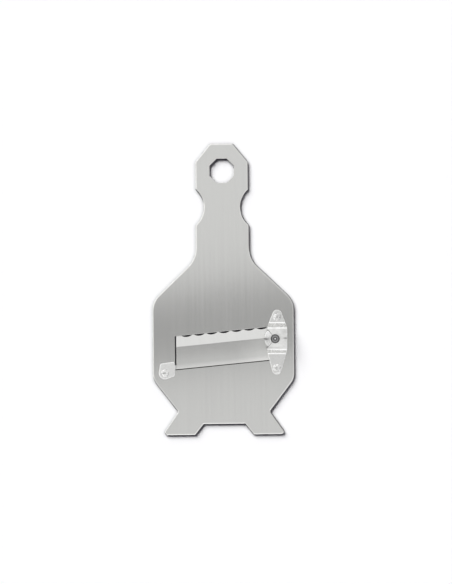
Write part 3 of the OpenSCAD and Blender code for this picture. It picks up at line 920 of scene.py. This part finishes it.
# Painted reflections on the wheel's face: a dark patch left of the screw and a bright one above
# and left of it.
wheel_painted_sheen = (
    (Vector((0.0266, -0.0318, wheel_top)), (0.0026, 0.0009, 0.002), 0.3),
    (Vector((0.0278, -0.0285, wheel_top)), (0.0022, 0.0028, 0.002), 1.3),
)


def on_blank(tree, start, ridges):
    """The turned piece that the tree is given, together with its ridges."""
    joined = shape_node(tree, "JoinGeometry")
    tree.links.new(start.outputs["Geometry"], joined.inputs[0])
    tree.links.new(ridges, joined.inputs[0])
    return joined.outputs[0]


def knurling():
    """Tree that sets ridges round the rim of a turned disc."""
    tree, start, end = node_tree(
        "knurled_rim",
        [("Middle", "Vector"), ("Radius", "Float"), ("Ridges", "Int"), ("Ridge radius", "Float"),
         ("Ridge length", "Float"), ("Finish", "Material")],
    )
    circle = shape_node(
        tree, "MeshCircle",
        {"Vertices": start.outputs["Ridges"], "Radius": start.outputs["Radius"]}
    ).outputs[0]
    placed = shape_node(
        tree, "Transform", {"Geometry": circle, "Translation": start.outputs["Middle"]}
    ).outputs[0]
    ridge = shape_node(
        tree, "MeshCylinder",
        {"Vertices": 8, "Radius": start.outputs["Ridge radius"],
         "Depth": start.outputs["Ridge length"]}
    ).outputs[0]
    ridges = shape_node(
        tree, "InstanceOnPoints", {"Points": placed, "Instance": ridge}
    ).outputs[0]
    return ended(tree, start, end, on_blank(tree, start, ridges))


wheel_steel = turned_metal(
    "turned_wheel", wheel_colour, roughness=0.17, middle=wheel_middle, ring_gap=0.0002,
    anisotropy=0.98
)
# Painted reflections on the wheel's face.
for middle, size, patch_gain in wheel_painted_sheen:
    painted_patch(wheel_steel.node_tree, middle, size, patch_gain)
wheel = turned(
    "knurled_wheel",
    [
        (screw_shank_r, wheel_low.z), (core_r - wheel_chamfer, wheel_low.z),
        (core_r, wheel_low.z + wheel_chamfer), (core_r, wheel_top - wheel_chamfer),
        (core_r - wheel_chamfer, wheel_top), (hub_r, wheel_top),
        (hub_r, wheel_high.z - chamfer), (hub_r - chamfer, wheel_high.z),
        (screw_shank_r, wheel_high.z), (screw_shank_r, wheel_low.z)
    ],
    wheel_middle, wheel_steps
)
shaped_by(
    wheel, knurling(), middle=(wheel_middle.x, wheel_middle.y, wheel_low.z + wheel_t / 2),
    radius=core_r, ridges=knurls, ridge_radius=knurl_r,
    ridge_length=wheel_t - 2 * knurl_end, finish=wheel_steel
)
finished(wheel, "adjuster", "wheel_steel", wheel_steel)
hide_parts("adjusting_wheel")


# Adjusting screw
# A turned screw with a dark, flat head that rests on the bridge, a plain shank in the bridge's
# seat and a thread in the bush. Its head keeps the rings of the lathe, with painted shade in their
# grooves and painted highlight on their lands, and a painted highlight at its middle.
screw_low, screw_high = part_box("adjusting_screw")
screw_middle = (screw_low + screw_high) / 2
screw_head_r = (screw_high.x - screw_low.x) / 2
screw_head_t = 0.00075
thread_r = 0.002
thread_root = 0.00168
thread_pitch = 0.0007
thread_top = wheel_low.z
groove_gap = 0.0017
groove_depth = 0.00012
groove_steps = 20
groove_shade_contrast = 0.6
screw_colour = (0.19, 0.19, 0.192)
head_middle = Vector((screw_middle.x, screw_middle.y, screw_high.z))
at_any_height = 1000
pip_r = 0.0009
pip_highlight = 3.4


def grooved_top():
    """From the head's edge to its middle, in round grooves that the lathe has left."""
    points = []
    for i in range(groove_steps + 1):
        radius = (screw_head_r - chamfer) * (1 - i / groove_steps)
        wave = (1 - math.cos(2 * math.pi * radius / groove_gap)) / 2
        points.append((radius, screw_high.z - groove_depth * wave))
    return points


def threading():
    """Tree that winds a ridge round a turned shank."""
    tree, start, end = node_tree(
        "wound_thread",
        [("Low end", "Vector"), ("Radius", "Float"), ("Turns", "Float"), ("Length", "Float"),
         ("Ridge radius", "Float"), ("Finish", "Material")],
    )
    helix = shape_node(
        tree, "CurveSpiral",
        {"Resolution": 32, "Rotations": start.outputs["Turns"],
         "Start Radius": start.outputs["Radius"], "End Radius": start.outputs["Radius"],
         "Height": start.outputs["Length"]}
    ).outputs[0]
    placed = shape_node(
        tree, "Transform", {"Geometry": helix, "Translation": start.outputs["Low end"]}
    ).outputs[0]
    section = shape_node(
        tree, "CurvePrimitiveCircle",
        {"Resolution": 6, "Radius": start.outputs["Ridge radius"]}
    ).outputs[0]
    ridge = shape_node(
        tree, "CurveToMesh", {"Curve": placed, "Profile Curve": section, "Fill Caps": True}
    ).outputs[0]
    return ended(tree, start, end, on_blank(tree, start, ridge))


def screw_finish():
    """Dark turned steel, with painted shade in the head's grooves, painted highlight on the lands
    and a painted highlight at the middle of the head.
    """
    material = turned_metal(
        "turned_screw", screw_colour, roughness=0.3, middle=screw_middle, ring_gap=0.00016
    )
    tree = material.node_tree
    radius = away_from(tree, head_middle, (1, 1, at_any_height))
    wave = maths(tree, "COSINE", maths(tree, "MULTIPLY", radius, 2 * math.pi / groove_gap))
    # Painted shade and highlight in rings that follow the head's grooves, and a painted highlight
    # at its middle.
    retinted(tree, maths(tree, "MULTIPLY_ADD", wave, groove_shade_contrast, 1.0))
    painted_patch(tree, head_middle, (pip_r, pip_r, at_any_height), pip_highlight)
    return material


screw_steel = screw_finish()
seat = screw_high.z - screw_head_t
ridge_r = thread_r - thread_root
thread_l = thread_top - screw_low.z - 2 * ridge_r
screw = turned(
    "adjusting_screw_turned",
    [
        (0, screw_low.z), (thread_root - chamfer, screw_low.z),
        (thread_root, screw_low.z + chamfer), (thread_root, thread_top),
        (screw_shank_r, thread_top), (screw_shank_r, seat), (screw_head_r, seat),
        (screw_head_r, screw_high.z - 2 * groove_depth), *grooved_top()
    ],
    screw_middle, turned_steps
)
shaped_by(
    screw, threading(), low_end=(screw_middle.x, screw_middle.y, screw_low.z + ridge_r),
    radius=thread_root, turns=thread_l / thread_pitch, length=thread_l, ridge_radius=ridge_r,
    finish=screw_steel
)
finished(screw, "adjuster", "screw_steel", screw_steel)
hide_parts("adjusting_screw")


# Floor
# A white table top, on which the slicer lies on its rear face. A painted contact shade makes it a
# little darker where the plate meets it. It is pure white to the camera, and throws a little less
# light at the steel.
floor_half = 3.0
floor_z = -0.0001
floor_white = 1.0
floor_colour = 0.9
contact_reach = 0.002
contact_shade = 0.5
bm = bmesh.new()
bmesh.ops.create_grid(bm, x_segments=1, y_segments=1, size=floor_half)
bmesh.ops.translate(bm, verts=bm.verts, vec=(0, 0, floor_z))
mesh = bpy.data.meshes.new("floor")
bm.to_mesh(mesh)
bm.free()
floor = bpy.data.objects.new("floor", mesh)
bpy.context.scene.collection.objects.link(floor)
white = bpy.data.materials.new("white_floor")
white.use_nodes = True
paint = white.node_tree
paint.nodes.clear()
to_camera = node(paint, "LightPath").outputs["Is Camera Ray"]
whiteness = ramp(paint, to_camera, 0.0, 1.0, floor_colour, floor_white)
open_to_room = node(
    paint, "AmbientOcclusion", {"Distance": contact_reach}, samples=16
).outputs["AO"]
contact = ramp(paint, open_to_room, 0.0, 1.0, contact_shade, 1.0)
shaded = maths(paint, "MULTIPLY", whiteness, contact)
matte = node(paint, "BsdfDiffuse", {"Color": shaded}).outputs[0]
node(paint, "OutputMaterial", {"Surface": matte})
floor.data.materials.append(white)


# Light
# A wide sun from the upper left draws the shadow on the floor, and a weak one from the upper
# right softens it. The steel mirrors a pale room, whose left wall is the brightest, and two
# panels over the slicer, with a darker gap between them.
panel_z = 1.5
panel_size = 3.0
panel_turn = math.radians(6)
shade_colour = (0.045, 0.042, 0.055, 1)
wall_tone = 0.8
ceiling_tone = 0.46
right_tone = 0.7
left_glow = 0.35


def sunlight(name, energy, width, side, rise):
    """Sun from a side, so many degrees wide and high, which the steel doesn't mirror."""
    lamp = bpy.data.objects.new(name, bpy.data.lights.new(name, "SUN"))
    lamp.data.energy = energy
    lamp.data.angle = math.radians(width)
    turn = math.radians(side)
    direction = Vector((math.cos(turn), math.sin(turn), math.tan(math.radians(rise))))
    lamp.rotation_euler = direction.to_track_quat("Z", "Y").to_euler()
    lamp.visible_glossy = False
    bpy.context.scene.collection.objects.link(lamp)


def panel(name, edge_y, side, brightness):
    """Panel over the slicer, on one side of the gap, which only the steel sees."""
    lamp = bpy.data.objects.new(name, bpy.data.lights.new(name, "AREA"))
    lamp.data.size = panel_size
    lamp.data.energy = brightness * math.pi * panel_size ** 2
    reach = side * panel_size / 2
    lamp.location = (
        -reach * math.sin(panel_turn), edge_y + reach * math.cos(panel_turn), panel_z
    )
    lamp.rotation_euler = (0, 0, panel_turn)
    lamp.visible_diffuse = False
    lamp.visible_camera = False
    bpy.context.scene.collection.objects.link(lamp)


sunlight("sun", energy=4.8, width=42, side=128, rise=36)
sunlight("fill", energy=0.35, width=50, side=60, rise=36)
panel("panel_above", edge_y=0.005, side=1, brightness=0.51)
panel("panel_below", edge_y=-0.11, side=-1, brightness=0.46)

room = bpy.data.worlds.new("pale_room")
room.use_nodes = True
room.node_tree.nodes.clear()
bpy.context.scene.world = room
sky = room.node_tree
rays = node(sky, "LightPath")
towards = node(sky, "TexCoord").outputs["Generated"]
height = node(sky, "SeparateXYZ", {0: towards}).outputs["Z"]
tone = ramp(sky, height, start=0.75, end=0.92, at_start=wall_tone, at_end=ceiling_tone)
to_left = vectors(sky, "DOT_PRODUCT", towards, (-1, 0, 0))
side = ramp(sky, to_left, start=-0.8, end=-0.1, at_start=right_tone, at_end=1.0)
glow = ramp(sky, to_left, start=0.3, end=0.9, at_start=0.0, at_end=left_glow)
walls = maths(sky, "MULTIPLY_ADD", tone, side, glow)
shadow_light = node(sky, "Background", {"Color": shade_colour, "Strength": 1.0})
seen = node(sky, "Background", {"Color": (1, 1, 1, 1), "Strength": 1.0})
mirrored = node(sky, "Background", {"Color": walls, "Strength": 1.0})
straight = maths(sky, "SUBTRACT", 1.0, rays.outputs["Diffuse Depth"])
in_steel = maths(sky, "MULTIPLY", rays.outputs["Is Glossy Ray"], straight)
for_steel = node(
    sky, "MixShader", {0: in_steel, 1: shadow_light.outputs[0], 2: mirrored.outputs[0]}
).outputs[0]
for_all = node(
    sky, "MixShader", {0: rays.outputs["Is Camera Ray"], 1: for_steel, 2: seen.outputs[0]}
).outputs[0]
node(sky, "OutputWorld", {"Surface": for_all})


# Camera
# It looks straight down on the food side, and is turned a little, as the photograph is.
view_height = 0.371
view_middle = (0.00198, -0.0018)
view_turn = -0.0105
camera_data = bpy.data.cameras.new("camera")
camera_data.lens = 100
camera_data.sensor_width = 36
camera_data.clip_start = 0.01
camera = bpy.data.objects.new("camera", camera_data)
distance = view_height * camera_data.lens / camera_data.sensor_width
camera.location = (*view_middle, plate_top + distance)
camera.rotation_euler = (0, 0, view_turn)
bpy.context.scene.collection.objects.link(camera)
bpy.context.scene.camera = camera
bpy.context.scene.view_settings.view_transform = "Standard"
